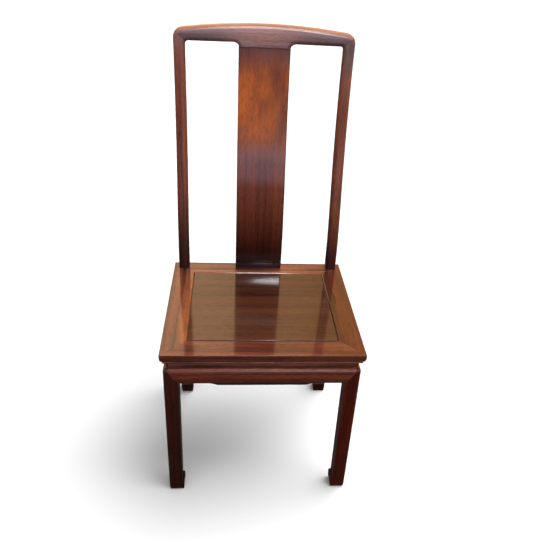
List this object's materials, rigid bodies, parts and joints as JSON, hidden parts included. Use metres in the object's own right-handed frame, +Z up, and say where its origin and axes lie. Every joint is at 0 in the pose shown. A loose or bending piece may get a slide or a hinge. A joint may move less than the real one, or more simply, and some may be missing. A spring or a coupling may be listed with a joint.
{
  "type": "armless official hat chair",
  "caption": "Armless wooden side chair with a tall curved splat, a flush rounded crest rail, a waisted seat frame with a floating panel, and legs that end in hoof feet.",
  "frame": {"origin": "on the floor, in the middle of the chair's whole width and depth", "axes": "+Z up, +Y towards the chair's back, +X towards the right as seen from the front; the chair faces -Y"},
  "size_m": [0.46, 0.4824, 1.0545],
  "materials": {
    "rosewood": "glossy lacquer"
  },
  "bodies": {
    "root": {"seat_front_rail": "rosewood", "seat_back_rail": "rosewood", "seat_left_rail": "rosewood", "seat_right_rail": "rosewood", "seat_panel": "rosewood", "seat_batten_left": "rosewood", "seat_batten_right": "rosewood", "waist_front": "rosewood", "waist_back": "rosewood", "waist_left": "rosewood", "waist_right": "rosewood", "apron_front": "rosewood", "apron_back": "rosewood", "apron_left": "rosewood", "apron_right": "rosewood", "leg_front_left": "rosewood", "leg_front_right": "rosewood", "leg_back_left": "rosewood", "leg_back_right": "rosewood", "back_post_left": "rosewood", "back_post_right": "rosewood", "crest_rail": "rosewood", "back_splat": "rosewood"}
  },
  "joints": []
}
